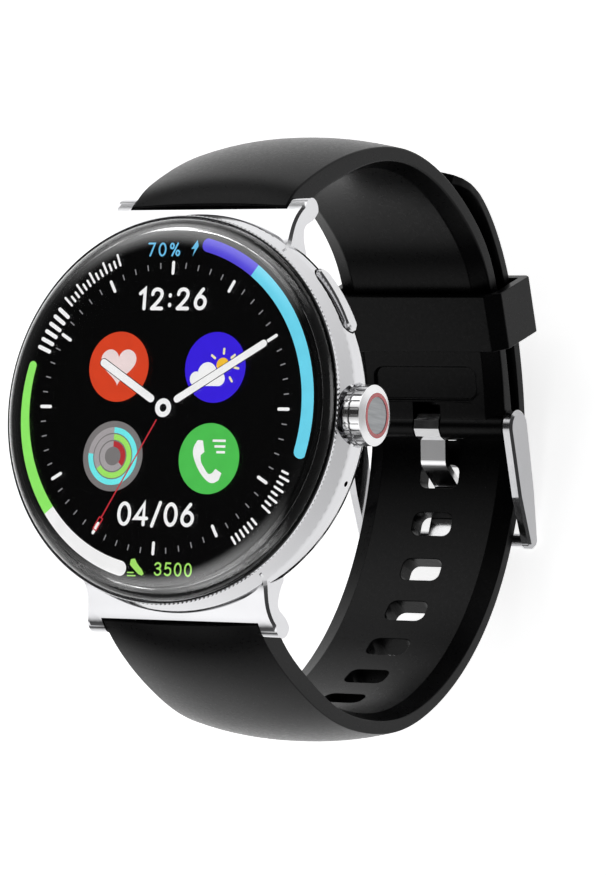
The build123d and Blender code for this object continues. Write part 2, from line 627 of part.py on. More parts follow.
# ---- buckle -----------------------------------------------------------------------------------------------
with BuildPart() as buckle_bar:
    cylinder(BUCKLE, BUCKLE_BAR_R, -ARM_OUT + 0.35, ARM_OUT - 0.35)
save(buckle_bar, "buckle_bar")

with BuildPart() as buckle_frame:
    with BuildSketch(Plane.YZ.offset(ARM_IN)):
        with Locations((BUCKLE_Y, BUCKLE_Z)):
            Circle(2.0)
        with Locations((-2.6, -50.3)):
            Circle(1.75)
        with Locations((OUTER_BAR_Y, OUTER_BAR_Z)):
            Circle(1.0)
        make_hull()
    extrude(amount=ARM_OUT - ARM_IN)
    chamfer(buckle_frame.faces().sort_by(Axis.X)[-1].edges(), length=0.3)
    mirror(about=Plane.YZ)
    cylinder(bar_plane(OUTER_BAR_Y, OUTER_BAR_Z), OUTER_BAR_R, -ARM_IN - 0.5, ARM_IN + 0.5)
    cylinder(BUCKLE, BUCKLE_BAR_R + 0.04, -ARM_OUT + 0.3, ARM_OUT - 0.3, Mode.SUBTRACT)
save(buckle_frame, "buckle_frame")

TONGUE_T = 0.75
with BuildPart() as buckle_tongue:
    with BuildSketch(Plane.YZ.offset(-TONGUE_W / 2)) as side_view:
        with BuildLine():
            FilletPolyline(
                (3.6, -47.9), (0.4, -48.4), (-1.9, -52.0), (-3.6, -52.2), (OUTER_BAR_Y - 0.3, -51.05),
                radius=0.8,
            )
            offset(amount=TONGUE_T / 2, kind=Kind.ARC)
        make_face()
        with Locations((BUCKLE_Y, BUCKLE_Z)):
            RegularPolygon(1.65, 10)
            Circle(BUCKLE_BAR_R + 0.06, mode=Mode.SUBTRACT)
    extrude(side_view.sketch, amount=TONGUE_W)
save(buckle_tongue, "buckle_tongue")

# ---- keeper -----------------------------------------------------------------------------------------------
tilt = math.radians(KEEPER_TILT)
KEEPER = Plane(origin=(0, KEEPER_Y, KEEPER_Z), x_dir=(1, 0, 0), z_dir=(0, math.cos(tilt), math.sin(tilt)))
with BuildPart() as keeper:
    with BuildSketch(KEEPER.offset(-KEEPER_L / 2)) as band:
        Rectangle(STRAP_W + KEEPER_ROOM + 2 * KEEPER_WALL, KEEPER_OPEN_H + 2 * KEEPER_WALL)
        chamfer(band.vertices().filter_by(lambda v: v.Z > KEEPER_Z), length=1.5)
        chamfer(band.vertices().filter_by(lambda v: v.Z < KEEPER_Z - 1), length=0.5)
        offset(amount=-KEEPER_WALL, mode=Mode.SUBTRACT)
    extrude(band.sketch, amount=KEEPER_L)
save(keeper, "keeper")
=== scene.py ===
import json
import math

import bmesh
import bpy
import numpy as np
from mathutils import Matrix, Vector


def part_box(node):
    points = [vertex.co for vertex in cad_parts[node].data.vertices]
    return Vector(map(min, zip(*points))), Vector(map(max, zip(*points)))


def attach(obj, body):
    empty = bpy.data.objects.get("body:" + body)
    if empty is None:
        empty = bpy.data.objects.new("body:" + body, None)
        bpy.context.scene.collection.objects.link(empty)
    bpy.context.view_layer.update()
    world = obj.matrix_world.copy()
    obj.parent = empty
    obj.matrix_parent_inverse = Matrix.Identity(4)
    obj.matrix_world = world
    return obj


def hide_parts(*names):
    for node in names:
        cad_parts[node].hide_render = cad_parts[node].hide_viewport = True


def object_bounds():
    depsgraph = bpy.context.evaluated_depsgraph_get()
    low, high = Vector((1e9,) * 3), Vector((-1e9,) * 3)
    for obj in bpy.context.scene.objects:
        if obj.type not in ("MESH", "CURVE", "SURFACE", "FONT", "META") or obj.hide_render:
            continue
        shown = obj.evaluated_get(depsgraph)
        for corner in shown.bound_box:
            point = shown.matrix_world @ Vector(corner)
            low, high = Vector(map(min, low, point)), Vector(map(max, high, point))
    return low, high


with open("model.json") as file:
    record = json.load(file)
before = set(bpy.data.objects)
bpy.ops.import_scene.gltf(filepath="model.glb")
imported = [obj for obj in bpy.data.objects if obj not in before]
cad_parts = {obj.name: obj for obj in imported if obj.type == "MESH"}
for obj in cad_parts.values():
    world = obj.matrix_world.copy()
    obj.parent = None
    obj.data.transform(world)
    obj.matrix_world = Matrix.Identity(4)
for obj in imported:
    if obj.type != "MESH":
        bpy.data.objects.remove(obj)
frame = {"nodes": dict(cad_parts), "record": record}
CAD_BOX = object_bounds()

# A smartwatch with its strap closed. Metres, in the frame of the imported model: +Z is the dial's normal,
# +X the crown's side, +Y 12 o'clock, and the origin is the middle of the case back.
MM = 0.001
NODES = frame["nodes"]

# ---- sizes in mm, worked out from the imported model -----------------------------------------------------


def span(node, axis):
    """Lowest and highest value of a CAD node along an axis, in mm."""
    low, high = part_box(node)
    return low[axis] / MM, high[axis] / MM


X, Y, Z = 0, 1, 2
STRAP_HALF = span("strap_upper", X)[1]
GLASS_R = span("cover_glass", X)[1]
GLASS_TOP = span("cover_glass", Z)[1]
DISPLAY_Z = span("display_panel", Z)[1]
BEZEL_R = span("bezel_ring", X)[1]
BEZEL_LOW, BEZEL_TOP = span("bezel_ring", Z)
BAR_Y = sum(span("upper_bar_tube", Y)) / 2
BAR_Z = sum(span("upper_bar_tube", Z)) / 2
BAR_R = (span("upper_bar_tube", Z)[1] - span("upper_bar_tube", Z)[0]) / 2
BUCKLE_Y = sum(span("buckle_bar", Y)) / 2
BUCKLE_Z = sum(span("buckle_bar", Z)) / 2
BUCKLE_BAR_R = (span("buckle_bar", Z)[1] - span("buckle_bar", Z)[0]) / 2

# ---- materials -----------------------------------------------------------------------------------------


def linear(code):
    """A '#rrggbb' colour as linear RGBA."""
    parts = [int(code[i:i + 2], 16) / 255 for i in (1, 3, 5)]
    return (*[c / 12.92 if c <= 0.04045 else ((c + 0.055) / 1.055) ** 2.4 for c in parts], 1.0)


def ramp(tree, fac, stops):
    """A colour ramp over a factor; stops are (position, RGBA)."""
    node = tree.nodes.new("ShaderNodeValToRGB")
    tree.links.new(fac, node.inputs["Fac"])
    while len(node.color_ramp.elements) < len(stops):
        node.color_ramp.elements.new(0.5)
    for element, (place, color) in zip(node.color_ramp.elements, stops):
        element.position = place
        element.color = color
    return node.outputs["Color"]


LOW, HIGH = 0.3, 0.7      # the usual range of the noise


def noise(tree, scale, detail, stretch=(1, 1, 1)):
    """Noise in the object's own coordinates, with scale in cycles per metre."""
    where = tree.nodes.new("ShaderNodeTexCoord")
    mapping = tree.nodes.new("ShaderNodeMapping")
    mapping.inputs["Scale"].default_value = stretch
    tree.links.new(where.outputs["Object"], mapping.inputs["Vector"])
    node = tree.nodes.new("ShaderNodeTexNoise")
    node.inputs["Scale"].default_value = scale
    node.inputs["Detail"].default_value = detail
    tree.links.new(mapping.outputs["Vector"], node.inputs["Vector"])
    return node.outputs["Fac"]


def tinted(color, factor):
    """A colour made lighter or darker."""
    return (*[min(1.0, c * factor) for c in color[:3]], 1.0)


def shade(
    name, code, rough=(0.3, 0.4), tone=0.1, grain=900, stretch=(1, 1, 1), bump=0.05, depth=0.01, **sockets
):
    """A Principled material whose colour, roughness and height follow noise of the given grain, per metre.
    depth is the height of the bump in mm, and the other sockets are set directly."""
    material = bpy.data.materials.new(name)
    material.use_nodes = True
    tree = material.node_tree
    shader = tree.nodes["Principled BSDF"]
    color = linear(code)
    wide = noise(tree, grain * 0.25, 2.0, stretch)
    fine = noise(tree, grain, 4.0, stretch)
    tree.links.new(
        ramp(tree, wide, [(LOW, tinted(color, 1 - tone)), (HIGH, tinted(color, 1 + tone))]),
        shader.inputs["Base Color"],
    )
    low, high = rough
    spread = tree.nodes.new("ShaderNodeMapRange")
    spread.inputs["From Min"].default_value = LOW
    spread.inputs["From Max"].default_value = HIGH
    spread.inputs["To Min"].default_value = low
    spread.inputs["To Max"].default_value = high
    tree.links.new(fine, spread.inputs["Value"])
    tree.links.new(spread.outputs["Result"], shader.inputs["Roughness"])
    if bump:
        relief = tree.nodes.new("ShaderNodeBump")
        relief.inputs["Strength"].default_value = bump
        relief.inputs["Distance"].default_value = depth * MM
        tree.links.new(fine, relief.inputs["Height"])
        tree.links.new(relief.outputs["Normal"], shader.inputs["Normal"])
    for socket, value in sockets.items():
        shader.inputs[socket.replace("_", " ")].default_value = value
    return material


LIT = 1.1                # brightness of the lit picture


def glow(name, code):
    """A lit part of the display: its brightness wavers a little from place to place."""
    material = bpy.data.materials.new(name)
    material.use_nodes = True
    tree = material.node_tree
    shader = tree.nodes["Principled BSDF"]
    shader.inputs["Base Color"].default_value = (0, 0, 0, 1)
    shader.inputs["Specular IOR Level"].default_value = 0.0
    shader.inputs["Roughness"].default_value = 0.6
    color = linear(code)
    tree.links.new(
        ramp(tree, noise(tree, 700, 2.0), [(LOW, tinted(color, 0.96)), (HIGH, tinted(color, 1.02))]),
        shader.inputs["Emission Color"],
    )
    shader.inputs["Emission Strength"].default_value = LIT
    return material


CHROME = shade("polished steel", "#cfcfd1", (0.05, 0.09), 0.02, 500, bump=0.02, depth=0.004, Metallic=1.0)
# Satin steel for the crown knob and the buckle's tongue. Its rougher finish is the steel's own, but its
# colour is lighter than the polished steel's: a painted highlight for light that doesn't reach these parts.
PAINTED_HIGHLIGHT_STEEL = shade("satin steel with painted highlight", "#dededf", (0.14, 0.22), 0.03, 700, bump=0.03, depth=0.004, Metallic=1.0)
GREY_STEEL = shade("buckle steel", "#b4b4b6", (0.12, 0.18), 0.03, 700, bump=0.03, depth=0.004, Metallic=1.0)
SATIN = shade("turned steel", "#b4b4b8", (0.22, 0.34), 0.05, 900, (1, 1, 6), Metallic=1.0)
WIRE = shade("spring steel", "#9a9aa0", (0.25, 0.4), 0.08, 1500, Metallic=1.0)
BRUSHED = shade("brushed grey", "#8c8e90", (0.28, 0.46), 0.16, 1100, (1, 14, 1), 0.25, 0.01, Metallic=0.9)
GLASS = shade(
    "cover glass", "#ffffff", (0.0, 0.015), 0.0, 300, bump=0,
    Transmission_Weight=1.0, IOR=1.47, Coat_Weight=1.0, Coat_IOR=1.65, Coat_Roughness=0.03,
)
DISPLAY = shade("display black", "#010102", (0.3, 0.4), 0.3, 1200, bump=0.02, Specular_IOR_Level=0.02)
BORDER = shade("printed border", "#010101", (0.25, 0.35), 0.3, 1200, bump=0.02, Specular_IOR_Level=0.05)
BACK = shade("back plastic", "#17171a", (0.36, 0.5), 0.14, 2600, bump=0.2, depth=0.02)
WINDOW = shade("tinted window", "#0a0a0d", (0.03, 0.07), 0.2, 500, bump=0.02, Coat_Weight=0.6)
SILICONE = shade(
    "strap silicone", "#050506", (0.26, 0.34), 0.12, 2600, bump=0.08, depth=0.01, Specular_IOR_Level=0.1,
)
SEAL = shade("seal rubber", "#141414", (0.5, 0.62), 0.15, 1800)
RED = shade("red enamel", "#c2202b", (0.12, 0.2), 0.06, 900, bump=0.03, Coat_Weight=0.5)
BRASS = shade("bushing brass", "#c39c50", (0.22, 0.34), 0.08, 1500, Metallic=1.0)
GOLD = shade("contact gold", "#dcb155", (0.14, 0.24), 0.06, 1500, Metallic=1.0)
NICKEL = shade("magnet nickel", "#b5b1a8", (0.2, 0.3), 0.06, 1500, Metallic=1.0)
BOARD = shade("circuit board", "#0d4a2b", (0.3, 0.42), 0.14, 1300)
FLEX = shade("flex film", "#a8641a", (0.3, 0.4), 0.12, 1300)
CHIP = shade("chip plastic", "#1a1a1b", (0.42, 0.56), 0.12, 2600)
FRAME = shade("frame plastic", "#202023", (0.42, 0.55), 0.12, 2600, bump=0.15)
FOIL = shade("battery foil", "#b0b0b4", (0.28, 0.42), 0.06, 900, bump=0.2, depth=0.02, Metallic=0.9)
SPEAKER = shade("speaker plastic", "#191a1c", (0.4, 0.55), 0.12, 2200)

SLOT_LOOKS = {
    "polished_steel": CHROME, "bar_steel": SATIN, "spring_steel": WIRE, "cover_glass": GLASS,
    "display_black": DISPLAY, "back_plastic": BACK, "window_glass": WINDOW, "strap_silicone": SILICONE,
    "seal_rubber": SEAL, "crown_red": RED, "crown_grey": BRUSHED, "bushing_brass": BRASS,
    "contact_gold": GOLD, "magnet_nickel": NICKEL, "circuit_board": BOARD, "flex_film": FLEX,
    "chip_plastic": CHIP, "frame_plastic": FRAME, "battery_foil": FOIL, "speaker_plastic": SPEAKER,
}
NODE_LOOKS = {"crown_knob": PAINTED_HIGHLIGHT_STEEL, "buckle_tongue": PAINTED_HIGHLIGHT_STEEL, "buckle_frame": GREY_STEEL}


def dress_cad_nodes():
    """Every CAD node gets the material of its slot, or its own."""
    for part in frame["record"]["subparts"]:
        mesh = NODES[part["node"]].data
        mesh.materials.clear()
        mesh.materials.append(NODE_LOOKS.get(part["node"], SLOT_LOOKS[part["material_slot"]]))


# ---- making pieces -------------------------------------------------------------------------------------
def finish_piece(piece, body, material, replaces=(), sharp=35.0):
    """Smooths a mesh piece except at its corners, gives it a material and lets it ride on a body."""
    piece.data.validate()
    piece.data.materials.clear()
    piece.data.materials.append(material)
    for polygon in piece.data.polygons:
        polygon.use_smooth = True
    piece.data.set_sharp_from_angle(angle=math.radians(sharp))
    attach(piece, body)
    if replaces:
        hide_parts(*replaces)
    return piece


def object_of(name, bm):
    """A new object at the origin from a bmesh in mm."""
    bmesh.ops.scale(bm, vec=(MM, MM, MM), verts=bm.verts)
    bmesh.ops.recalc_face_normals(bm, faces=bm.faces)
    mesh = bpy.data.meshes.new(name)
    bm.to_mesh(mesh)
    bm.free()
    piece = bpy.data.objects.new(name, mesh)
    bpy.context.scene.collection.objects.link(piece)
    return piece


def applied(piece):
    """Bakes the piece's modifiers into its mesh."""
    bpy.context.view_layer.update()
    graph = bpy.context.evaluated_depsgraph_get()
    mesh = bpy.data.meshes.new_from_object(piece.evaluated_get(graph))
    piece.modifiers.clear()
    piece.data = mesh
    return piece


def remove(*pieces):
    """Takes helper objects out of the scene."""
    for piece in pieces:
        bpy.data.objects.remove(piece)


def cut(piece, tool, operation="DIFFERENCE"):
    """An exact boolean with a tool that isn't kept."""
    modifier = piece.modifiers.new("cut", "BOOLEAN")
    modifier.operation = operation
    modifier.solver = "EXACT"
    modifier.use_self = True
    modifier.object = tool
    applied(piece)
    remove(tool)
    return piece


def rounded(piece, width, angle=30.0, segments=3):
    """Rounds every corner of the mesh that is sharper than the angle."""
    modifier = piece.modifiers.new("rounded", "BEVEL")
    modifier.width = width * MM
    modifier.segments = segments
    modifier.limit_method = "ANGLE"
    modifier.angle_limit = math.radians(angle)
    modifier.use_clamp_overlap = True
    return applied(piece)


def lathe(name, profile, segments=360, wave=None):
    """A closed profile of (radius, z) points turned round the Z axis, in mm.
    wave(radius, z, turn) may move a point's radius."""
    bm = bmesh.new()
    rings = []
    for radius, z in profile:
        if radius < 1e-6:
            rings.append([bm.verts.new((0, 0, z))])
            continue
        ring = []
        for k in range(segments):
            turn = 2 * math.pi * k / segments
            r = radius if wave is None else wave(radius, z, k)
            ring.append(bm.verts.new((r * math.cos(turn), r * math.sin(turn), z)))
        rings.append(ring)
    for a, b in zip(rings, rings[1:] + rings[:1]):
        for k in range(segments):
            corners = [a[k % len(a)], b[k % len(b)], b[(k + 1) % len(b)], a[(k + 1) % len(a)]]
            distinct = list(dict.fromkeys(corners))
            if len(distinct) > 2:
                bm.faces.new(distinct)
    return object_of(name, bm)


def curve_points(points, count):
    """A smooth curve through the points, as count points."""
    return [tuple(p) for p in Curve(points).at(np.linspace(0, 1, count))]


class Curve:
    """A natural cubic spline through rows of numbers, run along by the length of the first two columns."""

    def __init__(self, rows):
        self.rows = np.array(rows, float)
        steps = np.linalg.norm(np.diff(self.rows[:, :2], axis=0), axis=1)
        self.knots = np.concatenate([[0], np.cumsum(steps)])
        count = len(self.rows)
        system = np.eye(count)
        right = np.zeros_like(self.rows)
        for i in range(1, count - 1):
            before, after = steps[i - 1], steps[i]
            system[i, i - 1:i + 2] = (before, 2 * (before + after), after)
            right[i] = 6 * (
                (self.rows[i + 1] - self.rows[i]) / after - (self.rows[i] - self.rows[i - 1]) / before
            )
        self.bend = np.linalg.solve(system, right)
        self.fine = self.raw(np.linspace(0, self.knots[-1], 4000))
        lengths = np.linalg.norm(np.diff(self.fine[:, :2], axis=0), axis=1)
        self.run = np.concatenate([[0], np.cumsum(lengths)])
        self.length = self.run[-1]

    def raw(self, u):
        i = np.clip(np.searchsorted(self.knots, u, side="right") - 1, 0, len(self.knots) - 2)
        h = (self.knots[i + 1] - self.knots[i])[:, None]
        a = (self.knots[i + 1] - u)[:, None]
        b = (u - self.knots[i])[:, None]
        return (
            self.bend[i] * a ** 3 / (6 * h) + self.bend[i + 1] * b ** 3 / (6 * h)
            + (self.rows[i] / h - self.bend[i] * h / 6) * a
            + (self.rows[i + 1] / h - self.bend[i + 1] * h / 6) * b
        )

    def by_length(self, distance):
        """The curve's numbers this far along it; past the ends it goes straight on."""
        distance = np.asarray(distance, float)
        values = np.stack([np.interp(distance, self.run, column) for column in self.fine.T], axis=-1)
        for end, inner, beyond in ((0, 8, distance < 0), (-1, -9, distance > self.length)):
            slope = (self.fine[end] - self.fine[inner]) / (self.run[end] - self.run[inner])
            extra = distance[beyond] - self.run[end]
            values[beyond] = self.fine[end] + extra[:, None] * slope
        return values

    def at(self, share):
        return self.by_length(np.asarray(share) * self.length)


# ---- glass, bezel and display --------------------------------------------------------------------------
GLASS_FLAT_R = 17.2                # the flat middle of the glass
GLASS_UNDER = DISPLAY_Z + 0.12     # inner face of the glass, above the picture
GLASS_HOLLOW_R = 19.42             # radius of that inner face
GLASS_RIM_Z = 9.23                 # underside of the glass's rim
BORDER_IN_R, BORDER_OUT_R = 18.95, 20.75
BEZEL_IN_R = 18.1
BEZEL_SEAT_R, BEZEL_SEAT_Z = 18.5, 8.35
COIN_TEETH, COIN_DEPTH = 240, 0.07
GLASS_GAP = 0.1                    # between the glass and the bezel


def glass():
    """The domed glass, and the black print under its rim."""
    falling = [(GLASS_FLAT_R, GLASS_TOP), (18.4, 11.0), (19.4, 10.72), (20.3, 10.2), (20.72, 9.75)]
    profile = [(0, GLASS_TOP), (8, GLASS_TOP), (14, GLASS_TOP)]
    profile += curve_points(falling, 22)
    profile += [(GLASS_R, 9.5), (GLASS_R - 0.08, GLASS_RIM_Z), (GLASS_HOLLOW_R + 0.18, GLASS_RIM_Z)]
    profile += [(GLASS_HOLLOW_R + 0.03, GLASS_RIM_Z + 0.15), (GLASS_HOLLOW_R, GLASS_UNDER), (0, GLASS_UNDER)]
    piece = lathe("domed_glass", profile, 360)
    finish_piece(piece, "case", GLASS, ["cover_glass"], 25)
    high, low = GLASS_UNDER - 0.012, GLASS_RIM_Z - 0.01
    border = [
        (BORDER_IN_R, high), (19.36, high), (19.38, low), (BORDER_OUT_R, low),
        (BORDER_OUT_R, low - 0.02), (19.34, low - 0.02), (19.34, high - 0.018), (BORDER_IN_R, high - 0.018),
    ]
    finish_piece(lathe("glass_border", border, 256), "case", BORDER)


def bezel():
    """The bezel ring, with its very fine coin edge."""
    edge, top = BEZEL_R, BEZEL_TOP
    inner = GLASS_R + GLASS_GAP

    def coin(radius, z, k):
        return radius - (COIN_DEPTH if radius > edge - 0.03 and k % 4 in (0, 1) else 0.0)

    seat = [(BEZEL_IN_R, BEZEL_LOW), (BEZEL_SEAT_R, BEZEL_LOW), (BEZEL_SEAT_R, BEZEL_SEAT_Z)]
    waist = [(edge - 0.45, BEZEL_SEAT_Z), (edge - 0.32, 8.5), (edge - 0.25, 8.72), (edge - 0.1, 8.83)]
    rim = [(edge, 8.9), (edge, 9.16), (edge - 0.05, 9.25), (edge - 0.14, top), (edge - 0.24, top)]
    inside = [(inner + 0.02, 9.27), (inner, 9.18), (inner, 9.0), (BEZEL_IN_R, 9.0)]
    piece = lathe("coin_edge_bezel", seat + waist + rim + inside, COIN_TEETH * 4, coin)
    finish_piece(piece, "case", CHROME, ["bezel_ring"], 30)


# ---- the lit picture on the display --------------------------------------------------------------------
LAYER = 0.014            # height of one layer of the picture, mm
BASE, MARK, OUTLINE, HAND = [DISPLAY_Z + 0.006 + 0.02 * i for i in range(4)]


def clock(radius, degrees):
    """A point at a clock angle, from 12 clockwise."""
    turn = math.radians(degrees)
    return (radius * math.sin(turn), radius * math.cos(turn))


def disc(x, y, radius, count=72):
    """A round outline."""
    return [(x + radius * math.cos(2 * math.pi * k / count), y + radius * math.sin(2 * math.pi * k / count))
            for k in range(count)]


def stroke(start, end, width, round_ends=True):
    """A straight line of a width between two points, with round or square ends."""
    along = Vector(end) - Vector(start)
    turn = math.atan2(along.y, along.x)
    steps = 8 if round_ends else 1
    outline = []
    for centre, first in ((end, turn - math.pi / 2), (start, turn + math.pi / 2)):
        for k in range(steps + 1):
            a = first + math.pi * k / steps
            outline.append((centre[0] + width / 2 * math.cos(a), centre[1] + width / 2 * math.sin(a)))
    return outline


def arc(radius, width, first, last, centre=(0, 0), round_ends=(True, True), end_width=None):
    """A band along a circle between two clock angles, whose width may change evenly."""
    end_width = end_width or width
    count = max(6, int(abs(last - first) / 2))
    turns = [first + (last - first) * k / count for k in range(count + 1)]
    widths = [width + (end_width - width) * k / count for k in range(count + 1)]
    outside = [clock(radius + w / 2, t) for t, w in zip(turns, widths)]
    inside = [clock(radius - w / 2, t) for t, w in zip(turns, widths)]
    heading = 1 if last > first else -1

    def cap(turn, w, way):
        mid = Vector(clock(radius, turn))
        out = Vector(clock(1, turn))
        forward = Vector((out.y, -out.x)) * way
        return [tuple(mid + w / 2 * (out * math.cos(a) + forward * math.sin(a)))
                for a in [math.pi * k / 8 for k in range(1, 8)]]

    outline = list(outside)
    if round_ends[1]:
        outline += cap(turns[-1], widths[-1], heading)
    outline += inside[::-1]
    if round_ends[0]:
        outline += cap(turns[0], widths[0], -heading)[::-1]
    return [(x + centre[0], y + centre[1]) for x, y in outline]


def picture(name, outlines, level, material, height=LAYER):
    """Flat outlines in the dial's plane, raised into thin plates and joined in one piece."""
    bm = bmesh.new()
    for outline in outlines:
        lower = [bm.verts.new((x, y, level)) for x, y in outline]
        upper = [bm.verts.new((x, y, level + height)) for x, y in outline]
        bm.faces.new(lower)
        bm.faces.new(upper)
        for k in range(len(outline)):
            nxt = (k + 1) % len(outline)
            bm.faces.new((lower[k], lower[nxt], upper[nxt], upper[k]))
    bmesh.ops.triangulate(bm, faces=[f for f in bm.faces if len(f.verts) > 4])
    piece = object_of(name, bm)
    return finish_piece(piece, "case", material, sharp=20)


def ring_outlines(x, y, outer, inner):
    """A ring as two half bands."""
    radius, width = (outer + inner) / 2, outer - inner
    return [arc(radius, width, a, a + 180, (x, y), (False, False)) for a in (0, 180)]


def ribbon(points, width):
    """A line of even width through the points, with round ends, as one outline."""
    points = [Vector(point) for point in points]
    steps = [(b - a).normalized() for a, b in zip(points, points[1:])]
    left, right = [], []
    for here, before, after in zip(points, steps[:1] + steps, steps + steps[-1:]):
        along = (before + after).normalized()
        side = Vector((-along.y, along.x)) * (width / 2 / max(0.45, along.dot(before)))
        left.append(tuple(here + side))
        right.append(tuple(here - side))
    caps = []
    for centre, way in ((points[-1], steps[-1]), (points[0], -steps[0])):
        first = math.atan2(way.y, way.x) + math.pi / 2
        turns = [first - math.pi * k / 8 for k in range(1, 8)]
        caps.append([(centre.x + width / 2 * math.cos(t), centre.y + width / 2 * math.sin(t)) for t in turns])
    return left + caps[0] + right[::-1] + caps[1]


def oval(x, y, across, up, count=40):
    """The middle line of an oval, from its top and round."""
    turns = [2 * math.pi * k / count for k in range(count + 1)]
    return [(x + across * math.sin(t), y + up * math.cos(t)) for t in turns]


GLYPH_STRETCH = 1.14
# Numerals as lines in a box one high: their width, straight lines and curves.
GLYPHS = {
    "0": (0.54, [oval(0.27, 0.5, 0.27, 0.5)], []),
    "1": (0.26, [[(0, 0.78), (0.24, 1), (0.24, 0)]], []),
    "2": (0.54, [[(0, 0), (0.54, 0)]], [
        [(0.02, 0.74), (0.08, 0.92), (0.27, 1), (0.47, 0.91), (0.52, 0.72), (0.4, 0.46), (0.2, 0.22),
         (0, 0)]]),
    "3": (0.53, [], [
        [(0.02, 0.84), (0.13, 0.97), (0.3, 0.99), (0.47, 0.87), (0.45, 0.64), (0.2, 0.54)],
        [(0.2, 0.54), (0.46, 0.45), (0.53, 0.24), (0.37, 0.03), (0.15, 0.02), (0, 0.17)]]),
    "4": (0.58, [[(0.43, 0), (0.43, 1), (0, 0.29), (0.58, 0.29)]], []),
    "5": (0.53, [[(0.48, 1), (0.1, 1), (0.05, 0.54)]], [
        [(0.05, 0.54), (0.25, 0.63), (0.46, 0.54), (0.53, 0.31), (0.41, 0.06), (0.2, 0), (0, 0.13)]]),
    "6": (0.54, [], [
        [(0.4, 1), (0.17, 0.68), (0.03, 0.38), (0.07, 0.12), (0.27, 0), (0.47, 0.11), (0.54, 0.32),
         (0.46, 0.54), (0.27, 0.63), (0.1, 0.54), (0.03, 0.38)]]),
    "7": (0.52, [[(0, 1), (0.52, 1), (0.17, 0)]], []),
    ":": (0.08, [[(0.04, 0.16), (0.04, 0.2)], [(0.04, 0.66), (0.04, 0.7)]], []),
    "/": (0.36, [[(0, -0.06), (0.36, 1.06)]], []),
    "%": (0.8, [
        [(0.18, 0), (0.62, 1)], oval(0.14, 0.79, 0.14, 0.2, 20), oval(0.66, 0.21, 0.14, 0.2, 20)], []),
}


def digits(name, text, x, y, width, height, material, weight):
    """Numerals of a width and height, middle at (x, y), drawn with a line of the given weight."""
    tall = height - weight
    used = sum(GLYPHS[sign][0] for sign in text) * tall * GLYPH_STRETCH + weight
    gap = (width - used) / (len(text) - 1)
    outlines = []
    start = x - width / 2 + weight / 2
    for sign in text:
        wide, lines, curves = GLYPHS[sign]
        for line in lines + [curve_points(curve, 26) for curve in curves]:
            outlines.append(ribbon(
                [(start + a * tall * GLYPH_STRETCH, y + (b - 0.5) * tall) for a, b in line], weight
            ))
        start += wide * tall * GLYPH_STRETCH + gap
    picture(name, outlines, MARK, material)


WHITE = glow("lit white", "#fbfbfb")
DIM = glow("lit grey", "#8d8d90")
BLACK_LINE = shade("unlit line", "#030303", (0.5, 0.6), 0.2, 1200, bump=0, Specular_IOR_Level=0.1)
CYAN = glow("lit cyan", "#6fdcf6")
INDIGO = glow("lit indigo", "#574be0")
GREEN = glow("lit green", "#94f26c")
SKY = glow("lit sky blue", "#6fc4ee")
LEAF = glow("lit leaf green", "#a9e86c")
ORANGE = glow("lit orange red", "#dc4526")
BLUSH = glow("lit blush", "#f3dfde")
BLUE = glow("lit blue", "#3a22e2")
SUN = glow("lit yellow", "#fbc53a")
RAY = glow("lit pale yellow", "#f7efb8")
GREY = glow("lit icon grey", "#7d7a7a")
PALE = glow("lit ring grey", "#aaa5a7")
AQUA = glow("lit aqua", "#74f1f3")
LIME = glow("lit lime", "#a3ea6a")
CRIMSON = glow("lit crimson", "#b8343a")
CALL = glow("lit call green", "#50c455")
SECOND = glow("lit second hand", "#c9333d")

TICK_R = 15.3
ICONS = {"heart": (-6.15, 4.45), "weather": (6.28, 4.45), "rings": (-6.1, -5.35), "phone": (6.29, -5.45)}
ICON_R = 3.85


def minute_marks():
    """The twelve hour ticks and the minute ticks between them."""
    hours = [h for h in range(12)]
    picture("hour_ticks", [
        stroke(clock(TICK_R - 0.58, 30 * h), clock(TICK_R + 0.58, 30 * h), 0.36) for h in hours
    ], MARK, WHITE)
    picture("minute_ticks", [
        stroke(clock(TICK_R - 0.02, 6 * m), clock(TICK_R + 0.62, 6 * m), 0.13, False)
        for m in range(60) if m % 5
    ], MARK, DIM)


def hands():
    """The hour, minute and second hands and their hub."""
    hour, minute = 301, 60
    plans = {
        "hour_hand": (clock(1.95, hour), clock(9.45, hour), 0.86),
        "minute_hand": (clock(1.95, minute), clock(14.15, minute), 0.8),
    }
    for name, (start, end, width) in plans.items():
        picture(name + "_outline", [stroke(start, end, width + 0.16)], OUTLINE, BLACK_LINE)
        picture(name, [stroke(start, end, width)], HAND, WHITE)
    picture("hand_hub", ring_outlines(0, 0, 1.02, 0.44), HAND, WHITE)
    picture("second_hand", [stroke(clock(1.5, 210), clock(14.0, 210), 0.15, False)], HAND, SECOND)
    side = Vector(clock(0.24, 300))
    near, far = Vector(clock(14.0, 210)), Vector(clock(15.5, 210))
    corners = [near + side, far + side, far - side, near - side]
    picture("second_hand_tip", [
        stroke(tuple(corners[k]), tuple(corners[(k + 1) % 4]), 0.13) for k in range(4)
    ], HAND, SECOND)


BATTERY_R, BATTERY_W = 18.25, 1.5
STEPS_R, STEPS_WIDTHS = 18.0, (0.95, 1.3, 1.6)
STEPS_DONE_AT = 230.7             # clock angle up to which the steps are done
BATTERY_LEFT_AT = 34.8            # clock angle from which the battery's charge is left


